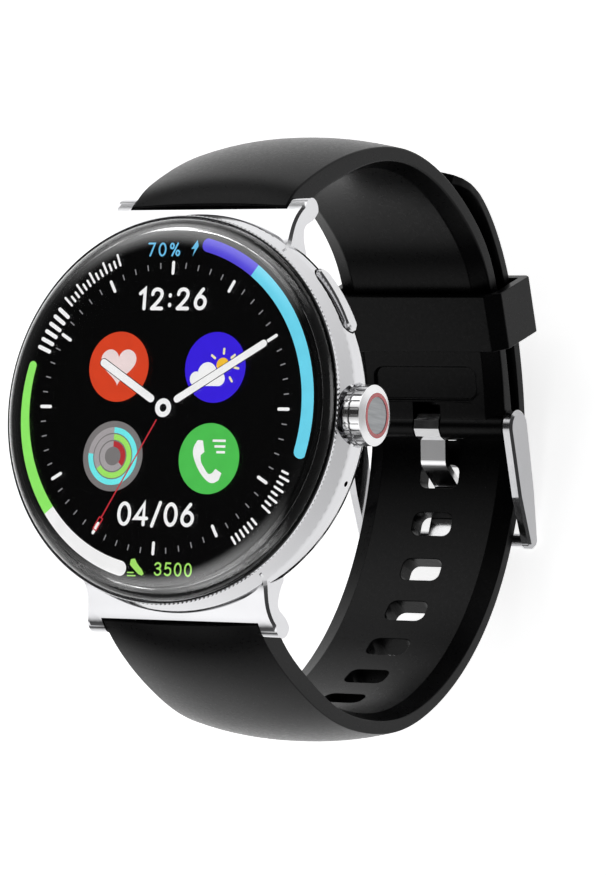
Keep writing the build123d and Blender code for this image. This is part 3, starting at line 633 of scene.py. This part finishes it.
def side_arcs():
    """The battery's arc at the right, the steps' arc at the left, and the bars beside them."""
    thin, middle, thick = STEPS_WIDTHS
    first, last = (True, False), (False, True)
    picture("battery_arc_used", [
        arc(BATTERY_R, BATTERY_W, 13.6, BATTERY_LEFT_AT, round_ends=first)
    ], MARK, INDIGO)
    picture("battery_arc_left", [
        arc(BATTERY_R, BATTERY_W, BATTERY_LEFT_AT, 104.4, round_ends=last)
    ], MARK, CYAN)
    picture("steps_arc_done", [
        arc(STEPS_R, thin, 284.6, STEPS_DONE_AT, round_ends=first, end_width=middle)
    ], MARK, GREEN)
    picture("steps_arc_left", [
        arc(STEPS_R, middle, STEPS_DONE_AT, 193.2, round_ends=last, end_width=thick)
    ], MARK, WHITE)
    picture("battery_bars", [
        stroke(clock(16.55, 291.5 + 3.04 * k), clock(17.95, 291.5 + 3.04 * k), 0.44) for k in range(6)
    ], MARK, WHITE)
    bars = [(311 + 2.1 * k, (1.2, 0.7, 0.7)[k % 3]) for k in range(13)]
    bars += [(113 + 2.1 * k, (0.7, 1.1)[k % 2]) for k in range(8)] + [(134 + 2.1 * k, 0.8) for k in range(6)]
    picture("arc_marks", [
        stroke(clock(17.05, a), clock(17.05 + tall, a), 0.26) for a, tall in bars
    ], MARK, WHITE)


def readouts():
    """The time, date, charge and step numerals with their small signs."""
    digits("time_digits", "12:26", 0.2, 11.9, 8.8, 2.5, WHITE, 0.4)
    digits("date_digits", "04/06", 0.0, -11.6, 9.9, 2.65, WHITE, 0.4)
    digits("charge_digits", "70%", -1.35, 17.3, 4.2, 1.5, SKY, 0.2)
    digits("step_digits", "3500", 2.7, -17.5, 4.8, 1.45, LEAF, 0.19)
    bolt = [(0.25, 0.85), (-0.45, -0.1), (-0.02, -0.1), (-0.22, -0.85), (0.45, 0.18), (0.04, 0.18)]
    picture("charge_bolt", [[(x + 2.6, y + 17.45) for x, y in bolt]], MARK, SKY)
    shoe = [
        (-0.75, 0.75), (-0.25, 0.85), (0.05, 0.35), (0.75, -0.35), (1.0, -0.75), (0.75, -0.95), (0.3, -0.8),
        (-0.55, -0.1), (-0.85, 0.2),
    ]
    picture("step_shoe", [[(x - 2.0, y - 17.3) for x, y in shoe]], MARK, LEAF)
    picture("step_shoe_lines", [
        stroke((-3.1, -17.95 - 0.32 * k), (-2.35 + 0.25 * k, -17.95 - 0.32 * k), 0.13) for k in range(2)
    ], MARK, LEAF)


def heart_icon():
    """A heart on a disc."""
    x, y = ICONS["heart"]
    picture("heart_disc", [disc(x, y, ICON_R)], BASE, ORANGE)
    outline = []
    for k in range(64):
        t = 2 * math.pi * k / 64
        across = 16 * math.sin(t) ** 3
        up = 13 * math.cos(t) - 5 * math.cos(2 * t) - 2 * math.cos(3 * t) - math.cos(4 * t)
        outline.append((x - 0.05 + across * 0.142, y + 0.25 + up * 0.138))
    picture("heart_shape", [outline], MARK, BLUSH)


def weather_icon():
    """A cloud before the sun on a disc."""
    x, y = ICONS["weather"]
    picture("weather_disc", [disc(x, y, ICON_R)], BASE, BLUE)
    picture("weather_sun", [disc(x + 0.95, y + 0.25, 0.8)], MARK, SUN)
    rays = []
    for a, b in ((-0.3, 1.15), (1.0, 1.75), (2.2, 1.2), (2.7, -0.05), (2.1, -1.3)):
        out = (Vector((a, b)) - Vector((0.95, 0.25))).normalized() * 0.25
        rays.append(stroke((x + a - out.x, y + b - out.y), (x + a + out.x, y + b + out.y), 0.26))
    picture("weather_rays", rays, MARK, RAY)
    lobes = [(-2.35, -1.25, 0.78), (-0.95, -0.65, 1.2), (0.55, -1.25, 0.78)]
    edges = [disc(x + a, y + b, r + 0.13) for a, b, r in lobes]
    picture("weather_cloud_edge", edges, MARK + 0.0085, BLUE, 0.008)
    cloud = [disc(x + a, y + b, r) for a, b, r in lobes]
    cloud.append(stroke((x - 2.4, y - 1.55), (x + 0.6, y - 1.55), 0.96))
    for k, outline in enumerate(cloud):
        picture(f"weather_cloud_{k}", [outline], MARK + 0.017 + 0.0005 * k, WHITE, 0.002)


def rings_icon():
    """Three level rings on a disc."""
    x, y = ICONS["rings"]
    picture("rings_disc", [disc(x, y, ICON_R)], BASE, GREY)
    for name, radius, until, material in (
        ("outer", 2.85, 275, AQUA), ("middle", 2.1, 235, LIME), ("inner", 1.33, 130, CRIMSON),
    ):
        picture(f"rings_track_{name}", [
            arc(radius, 0.62, until, 360, (x, y), (False, False))
        ], MARK, PALE)
        picture(f"rings_level_{name}", [arc(radius, 0.62, 0, until, (x, y), (False, False))], MARK, material)


def phone_icon():
    """A handset on a disc."""
    x, y = ICONS["phone"]
    picture("phone_disc", [disc(x, y, ICON_R)], BASE, CALL)
    back = [(-1.55, 2.0), (-2.05, 1.1), (-1.6, -0.6), (-0.55, -2.0), (0.75, -2.65), (1.45, -2.3)]
    outer = curve_points(back, 22)
    inner = curve_points([(0.62, -1.5), (0.25, -1.68), (-0.45, -1.1), (-1.0, -0.2), (-1.05, 0.35)], 14)
    ear_low = [(1.75, -1.55), (0.95, -1.1)]
    ear_high = [(-0.62, 0.72), (-0.9, 1.95)]
    outline = [(x + a, y + b) for a, b in outer + ear_low + inner + ear_high]
    picture("phone_handset", [outline], MARK, WHITE)
    picture("phone_lines", [
        stroke((x + 0.35 + 0.28 * k, y + 1.95 - 0.62 * k), (x + 2.0, y + 1.95 - 0.62 * k), 0.26, False)
        for k in range(3)
    ], MARK, WHITE)


# ---- strap ---------------------------------------------------------------------------------------------
# Points of each half's outer face at its edges, as (y, z), its thickness there and how far it bulges, in mm.
UPPER_PATH = [
    (22.9, 4.35, 1.5, 0.4), (24.4, 3.1, 3.2, 0.8), (26.4, 0.4, 3.3, 1.1), (29.8, -6.2, 2.9, 1.25),
    (32.0, -12.8, 2.5, 1.25), (33.0, -21.4, 2.4, 0.8), (31.5, -28.9, 2.4, 0.15), (28.4, -35.3, 2.4, 0.1),
    (24.0, -40.6, 2.4, 0.1), (17.4, -44.3, 2.3, 0.1), (10.4, -47.0, 2.3, 0.1), (6.0, -48.4, 2.6, 0.0),
]
LOWER_PATH = [
    (-22.85, 4.25, 1.4, 0.4), (-24.2, 2.8, 3.0, 0.8), (-26.3, 0.0, 3.3, 1.1), (-29.8, -6.6, 2.9, 1.2),
    (-32.0, -13.0, 2.5, 1.2), (-32.8, -20.5, 2.3, 1.2), (-32.0, -27.7, 2.2, 1.1), (-28.3, -35.9, 2.1, 1.0),
    (-23.3, -42.0, 2.1, 0.8), (-14.5, -48.1, 2.1, 0.3), (-4.9, -51.2, 2.1, 0.1), (3.2, -51.8, 2.1, 0.1),
    (10.6, -50.3, 2.1, 0.1), (18.6, -47.2, 2.1, 0.1), (22.7, -45.0, 2.0, 0.1), (27.4, -41.4, 1.9, 0.1),
    (30.7, -37.2, 1.7, 0.1), (32.2, -32.8, 1.4, 0.1), (32.5, -30.7, 1.25, 0.0),
]
FLAT_T = 2.4              # thickness of the flat strap, before it is bent and thinned
BEVEL_DEPTH, BEVEL_WIDTH = 0.8, 2.1
FIRST_HOLE, HOLE_PITCH, HOLES = 39.35, 6.13, 10
HOLE_W, HOLE_L, HOLE_R = 5.2, 3.0, 1.0
POCKET_AT, POCKET_W, POCKET_L = 65.5, 13.5, 4.0
TAIL = 7.0                # length of the rounded tail
TAIL_POWER = 0.75         # below 1 the tail is squarer than a circle
SLICE = 0.8               # length of one bent slice
SLOPE_STEP = 0.2          # how far ahead and behind the path's direction is taken
BULGE_POWER = 2.2         # how evenly the outer face bulges
COLUMNS = 8               # faces from the middle of the outer face to its edge
EDGE_ROUND = 0.22
POCKET_DEPTH, POCKET_R = 0.45, 1.2
OUTER_PART, INNER_PART = 0.45, 0.95     # depths that keep their thickness when the rest is thinned
NOSE_R = 1.3              # round end at a spring bar
END_R = 1.6               # round end at the buckle's bar
BORE_GAP = 0.02
THROUGH = 20              # half length of a tool that bores from side to side
CUT_LOW, CUT_HIGH = -2, 5             # depths past both faces of the flat strap
PLAN_HALF = 12            # half width of the plan, past the strap's sides
TONGUE_SLOT = ((-1.85, 1.85), (0, 7.3), (-50, -43))     # x, y and z
STRAP_SHARP = 40          # degrees


def rounded_rectangle(x, y, width, length, radius, count=5):
    """A rectangle's outline with round corners, middle at (x, y)."""
    outline = []
    for cx, cy, first in ((1, 1, 0), (-1, 1, 90), (-1, -1, 180), (1, -1, 270)):
        for k in range(count + 1):
            a = math.radians(first + 90 * k / count)
            outline.append((
                x + cx * (width / 2 - radius) + radius * math.cos(a),
                y + cy * (length / 2 - radius) + radius * math.sin(a),
            ))
    return outline


def prisms(name, outlines, low, high):
    """Plan outlines in (x, s) made into tools from one depth to another."""
    bm = bmesh.new()
    for outline in outlines:
        bottom = [bm.verts.new((x, s, low)) for x, s in outline]
        top = [bm.verts.new((x, s, high)) for x, s in outline]
        bm.faces.new(bottom)
        bm.faces.new(top)
        for k in range(len(outline)):
            nxt = (k + 1) % len(outline)
            bm.faces.new((bottom[k], bottom[nxt], top[nxt], top[k]))
    return object_of(name, bm)


def flat_strap(name, length, plan, holes, pockets):
    """The strap half laid flat: x across, y along it, z from the outer face (0) to the inner face."""
    section = []
    for k in range(-COLUMNS, COLUMNS + 1):
        section.append((STRAP_HALF * k / COLUMNS, 0.0))
    section += [
        (STRAP_HALF, FLAT_T - BEVEL_DEPTH), (STRAP_HALF - BEVEL_WIDTH, FLAT_T),
        (BEVEL_WIDTH - STRAP_HALF, FLAT_T), (-STRAP_HALF, FLAT_T - BEVEL_DEPTH),
    ]
    bm = bmesh.new()
    ends = [[bm.verts.new((x, s, w)) for x, w in section] for s in (0, length)]
    for ring in ends:
        bm.faces.new(ring)
    for k in range(len(section)):
        nxt = (k + 1) % len(section)
        bm.faces.new((ends[0][k], ends[0][nxt], ends[1][nxt], ends[1][k]))
    band = object_of(name, bm)
    if plan:
        cut(band, prisms("plan", [plan], CUT_LOW, CUT_HIGH), "INTERSECT")
    if holes:
        cut(band, prisms("holes", holes, CUT_LOW, CUT_HIGH))
    if pockets:
        cut(band, prisms("pockets", pockets, FLAT_T - POCKET_DEPTH, CUT_HIGH))
    return rounded(band, EDGE_ROUND, 17, 3)


def bend(band, path):
    """Slices the flat strap and bends it along its path, thinning it as the path says."""
    turn = 1 if path[0][0] > 0 else -1
    line = Curve(path)
    bm = bmesh.new()
    bm.from_mesh(band.data)
    for k in range(1, int(line.length / SLICE)):
        bmesh.ops.bisect_plane(
            bm, geom=bm.verts[:] + bm.edges[:] + bm.faces[:], dist=1e-7,
            plane_co=(0, k * SLICE * MM, 0), plane_no=(0, 1, 0),
        )
    places = np.array([v.co for v in bm.verts]) / MM
    spots = line.by_length(places[:, 1])
    ahead = line.by_length(places[:, 1] + SLOPE_STEP)
    behind = line.by_length(places[:, 1] - SLOPE_STEP)
    tangent = ahead[:, :2] - behind[:, :2]
    tangent /= np.linalg.norm(tangent, axis=1)[:, None]
    inward = np.stack([turn * tangent[:, 1], -turn * tangent[:, 0]], axis=1)
    thick = np.interp(places[:, 1], line.run, line.fine[:, 2])
    across = np.minimum(np.abs(places[:, 0]) / STRAP_HALF, 1)
    bulge = np.interp(places[:, 1], line.run, line.fine[:, 3]) * (1 - across ** BULGE_POWER)
    least = OUTER_PART + INNER_PART + 0.1
    middle = FLAT_T - OUTER_PART - INNER_PART
    full = np.maximum(thick, least) + bulge
    w = places[:, 2]
    share = np.clip((w - OUTER_PART) / middle, 0, 1)
    depth = np.minimum(w, OUTER_PART) + share * (full - OUTER_PART - INNER_PART)
    depth += np.maximum(w - (FLAT_T - INNER_PART), 0)
    depth = depth * np.minimum(thick / least, 1) - bulge
    bent = np.stack([places[:, 0], *(spots[:, :2] + inward * depth[:, None]).T], axis=1)
    for v, place in zip(bm.verts, bent * MM):
        v.co = place
    bmesh.ops.recalc_face_normals(bm, faces=bm.faces)
    bm.to_mesh(band.data)
    bm.free()
    return band


def evened(piece):
    """Gives the flat faces the say over the shading of their edges, so that cuts leave no ripples."""
    modifier = piece.modifiers.new("evened", "WEIGHTED_NORMAL")
    modifier.mode = "FACE_AREA"
    modifier.weight = 60
    modifier.keep_sharp = True
    return piece


def rod(name, y, z, radius, half, count=48):
    """A round bar across the strap."""
    bm = bmesh.new()
    ends = []
    for x in (-half, half):
        ends.append([bm.verts.new((
            x, y + radius * math.cos(2 * math.pi * k / count), z + radius * math.sin(2 * math.pi * k / count)
        )) for k in range(count)])
    for ring in ends:
        bm.faces.new(ring)
    for k in range(count):
        nxt = (k + 1) % count
        bm.faces.new((ends[0][k], ends[0][nxt], ends[1][nxt], ends[1][k]))
    return object_of(name, bm)


def slab_between(name, x, y, z):
    """A box tool from three (low, high) pairs."""
    bm = bmesh.new()
    bmesh.ops.create_cube(bm, size=1)
    for v in bm.verts:
        v.co = [pair[0] + (c + 0.5) * (pair[1] - pair[0]) for c, pair in zip(v.co, (x, y, z))]
    return object_of(name, bm)


def strap():
    """Both strap halves: the upper one to the buckle, the lower one with its holes and tail."""
    upper_length = Curve(UPPER_PATH).length
    pocket = rounded_rectangle(0, POCKET_AT, POCKET_W, POCKET_L, POCKET_R)
    upper = bend(flat_strap("strap_upper_half", upper_length, None, [], [pocket]), UPPER_PATH)
    cut(upper, rod("nose", BAR_Y, BAR_Z, NOSE_R, STRAP_HALF), "UNION")
    cut(upper, rod("nose_bore", BAR_Y, BAR_Z, BAR_R + BORE_GAP, THROUGH))
    cut(upper, rod("end", BUCKLE_Y, BUCKLE_Z, END_R, STRAP_HALF), "UNION")
    cut(upper, rod("end_bore", BUCKLE_Y, BUCKLE_Z, BUCKLE_BAR_R + BORE_GAP, THROUGH))
    cut(upper, slab_between("tongue_slot", *TONGUE_SLOT))
    evened(finish_piece(upper, "case", SILICONE, ["strap_upper"], STRAP_SHARP))

    length = Curve(LOWER_PATH).length
    holes = [rounded_rectangle(0, FIRST_HOLE + i * HOLE_PITCH, HOLE_W, HOLE_L, HOLE_R) for i in range(HOLES)]
    plan = [(-PLAN_HALF, -1), (PLAN_HALF, -1), (PLAN_HALF, length - TAIL)]
    for k in range(17):
        a = math.pi * k / 16
        across = math.copysign(abs(math.cos(a)) ** TAIL_POWER, math.cos(a))
        plan.append((STRAP_HALF * across, length - TAIL + TAIL * math.sin(a) ** TAIL_POWER))
    plan.append((-PLAN_HALF, length - TAIL))
    lower = bend(flat_strap("strap_lower_half", length, plan, holes, []), LOWER_PATH)
    cut(lower, rod("nose", -BAR_Y, BAR_Z, NOSE_R, STRAP_HALF), "UNION")
    cut(lower, rod("nose_bore", -BAR_Y, BAR_Z, BAR_R + BORE_GAP, THROUGH))
    evened(finish_piece(lower, "case", SILICONE, ["strap_lower"], STRAP_SHARP))


KEEPER_Y, KEEPER_Z, KEEPER_TILT = 17.6, -44.65, 24.5
KEEPER_L, KEEPER_WALL, KEEPER_H = 6.7, 1.1, 8.8
KEEPER_CORNER, KEEPER_FAR_CORNER = 1.5, 0.5
KEEPER_LEAST_CORNER = 0.15
KEEPER_ROUND = 0.16
CORNER_LOSS = 0.586                # what a cut corner loses for each mm that its outline is moved in


def keeper():
    """The loop that holds the strap's end: a flat band with cut corners."""
    half_w, half_h = span("keeper", X)[1], KEEPER_H / 2

    def outline(inset):
        w, h = half_w - inset, half_h - inset
        near = KEEPER_CORNER - CORNER_LOSS * inset
        far = max(KEEPER_FAR_CORNER - CORNER_LOSS * inset, KEEPER_LEAST_CORNER)
        return [
            (w - near, h), (near - w, h), (-w, h - near), (-w, far - h),
            (far - w, -h), (w - far, -h), (w, far - h), (w, h - near),
        ]

    tilt = math.radians(KEEPER_TILT)
    bm = bmesh.new()
    rings = []
    for inset, along in ((0, -0.5), (0, 0.5), (KEEPER_WALL, 0.5), (KEEPER_WALL, -0.5)):
        rings.append([bm.verts.new((x, along * KEEPER_L, h)) for x, h in outline(inset)])
    for a, b in zip(rings, rings[1:] + rings[:1]):
        for k in range(len(a)):
            nxt = (k + 1) % len(a)
            bm.faces.new((a[k], a[nxt], b[nxt], b[k]))
    turn = Matrix.Translation((0, KEEPER_Y, KEEPER_Z)) @ Matrix.Rotation(tilt, 4, "X")
    bmesh.ops.transform(bm, matrix=turn, verts=bm.verts)
    loop = rounded(object_of("keeper_loop", bm), KEEPER_ROUND, 20, 3)
    evened(finish_piece(loop, "keeper", SILICONE, ["keeper"], STRAP_SHARP))


# ---- camera, light and floor ---------------------------------------------------------------------------
VIEW_BACK = (0.5219, -0.0899, 0.8479)      # from the watch to the camera
VIEW_AIM = (11.475, -1.898, 0)             # mm
VIEW_DISTANCE = 622.67                     # mm
VIEW_ROLL = 3.9875                         # degrees
VIEW_LENS = 235.4


def camera():
    """The camera at the angle of the photograph."""
    data = bpy.data.cameras.new("camera")
    data.lens = VIEW_LENS
    data.sensor_width = 36
    data.clip_start = 0.01
    data.clip_end = 20
    holder = bpy.data.objects.new("camera", data)
    bpy.context.scene.collection.objects.link(holder)
    back = Vector(VIEW_BACK).normalized()
    level = Vector((0, 1, 0)).cross(back).normalized()
    over = back.cross(level)
    roll = math.radians(VIEW_ROLL)
    right = level * math.cos(roll) + over * math.sin(roll)
    holder.matrix_world = Matrix((right, back.cross(right), back)).transposed().to_4x4()
    holder.matrix_world.translation = (Vector(VIEW_AIM) + back * VIEW_DISTANCE) * MM
    bpy.context.scene.camera = holder


def softbox(name, place, width, height, power, target=(0, 0, -0.015)):
    """A soft area light that faces the watch."""
    data = bpy.data.lights.new(name, "AREA")
    data.shape = "RECTANGLE"
    data.size = width
    data.size_y = height
    data.energy = power
    holder = bpy.data.objects.new(name, data)
    bpy.context.scene.collection.objects.link(holder)
    holder.location = place
    holder.rotation_euler = (Vector(place) - Vector(target)).to_track_quat("Z", "Y").to_euler()


SKY_GREYS = [(0.0, 0.2), (0.1, 0.1), (0.3, 0.08), (0.55, 0.05), (0.8, 0.01), (1.0, 0.03)]
SKY_PANELS = [                     # direction, angles where the light is full and where it ends, brightness
    ((-0.354, 0.76, 0.545), 10, 38, 1.55),
    ((-0.3, -0.64, 0.707), 8, 36, 1.5),
    ((0.95, 0.2, 0.05), 4, 20, 1.2),
]


def studio_sky():
    """A dark studio that is grey near the horizon, with large soft panels of light."""
    world = bpy.data.worlds.new("studio")
    bpy.context.scene.world = world
    world.use_nodes = True
    tree = world.node_tree
    where = tree.nodes.new("ShaderNodeTexCoord").outputs["Generated"]
    parts = tree.nodes.new("ShaderNodeSeparateXYZ")
    tree.links.new(where, parts.inputs["Vector"])
    stops = [(place, (grey, grey, grey * 1.01, 1)) for place, grey in SKY_GREYS]
    total = ramp(tree, parts.outputs["Z"], stops)
    for direction, full, end, strength in SKY_PANELS:
        facing = tree.nodes.new("ShaderNodeVectorMath")
        facing.operation = "DOT_PRODUCT"
        facing.inputs[1].default_value = Vector(direction).normalized()
        tree.links.new(where, facing.inputs[0])
        soft = tree.nodes.new("ShaderNodeMapRange")
        soft.interpolation_type = "SMOOTHSTEP"
        soft.inputs["From Min"].default_value = math.cos(math.radians(end))
        soft.inputs["From Max"].default_value = math.cos(math.radians(full))
        soft.inputs["To Max"].default_value = strength
        tree.links.new(facing.outputs["Value"], soft.inputs["Value"])
        added = tree.nodes.new("ShaderNodeVectorMath")
        added.operation = "ADD"
        tree.links.new(total, added.inputs[0])
        tree.links.new(soft.outputs["Result"], added.inputs[1])
        total = added.outputs["Vector"]
    tree.links.new(total, tree.nodes["Background"].inputs["Color"])


FLOOR_HALF = 3.0                   # m
FLOOR_GAP = 0.0002                 # between the watch and the floor, m
FLOOR_GLOW_NEAR, FLOOR_GLOW_FAR = (0.12, 0.8), (0.4, 0.12)     # distance in m, brightness


def floor_look():
    """A white floor, softly lit from below near the watch, like a light table."""
    material = shade("floor white", "#f4f4f4", (0.6, 0.7), 0.01, 40, bump=0)
    tree = material.node_tree
    where = tree.nodes.new("ShaderNodeTexCoord")
    away = tree.nodes.new("ShaderNodeVectorMath")
    away.operation = "LENGTH"
    tree.links.new(where.outputs["Object"], away.inputs[0])
    fade = tree.nodes.new("ShaderNodeMapRange")
    fade.inputs["From Min"].default_value = FLOOR_GLOW_NEAR[0]
    fade.inputs["From Max"].default_value = FLOOR_GLOW_FAR[0]
    fade.inputs["To Min"].default_value = FLOOR_GLOW_NEAR[1]
    fade.inputs["To Max"].default_value = FLOOR_GLOW_FAR[1]
    tree.links.new(away.outputs["Value"], fade.inputs["Value"])
    shader = tree.nodes["Principled BSDF"]
    shader.inputs["Emission Color"].default_value = (1, 1, 1, 1)
    tree.links.new(fade.outputs["Result"], shader.inputs["Emission Strength"])
    return material


def studio():
    """The sky, two soft lights and the floor."""
    studio_sky()
    softbox("top_box", (-0.42, 0.62, 0.36), 0.5, 0.3, 0.12)
    softbox("front_box", (0.02, -0.66, 0.5), 0.6, 0.3, 0.15)

    floor_mesh = bpy.data.meshes.new("floor")
    corners = [(x * FLOOR_HALF, y * FLOOR_HALF, 0) for x, y in ((-1, -1), (1, -1), (1, 1), (-1, 1))]
    floor_mesh.from_pydata(corners, [], [(0, 1, 2, 3)])
    floor = bpy.data.objects.new("floor", floor_mesh)
    floor.location.z = CAD_BOX[0].z - FLOOR_GAP
    bpy.context.scene.collection.objects.link(floor)
    floor_mesh.materials.append(floor_look())
    bpy.context.scene.view_settings.view_transform = "Standard"


# ---- making --------------------------------------------------------------------------------------------
camera()
studio()
dress_cad_nodes()
glass()
bezel()
minute_marks()
side_arcs()
heart_icon()
weather_icon()
rings_icon()
phone_icon()
readouts()
hands()
strap()
keeper()
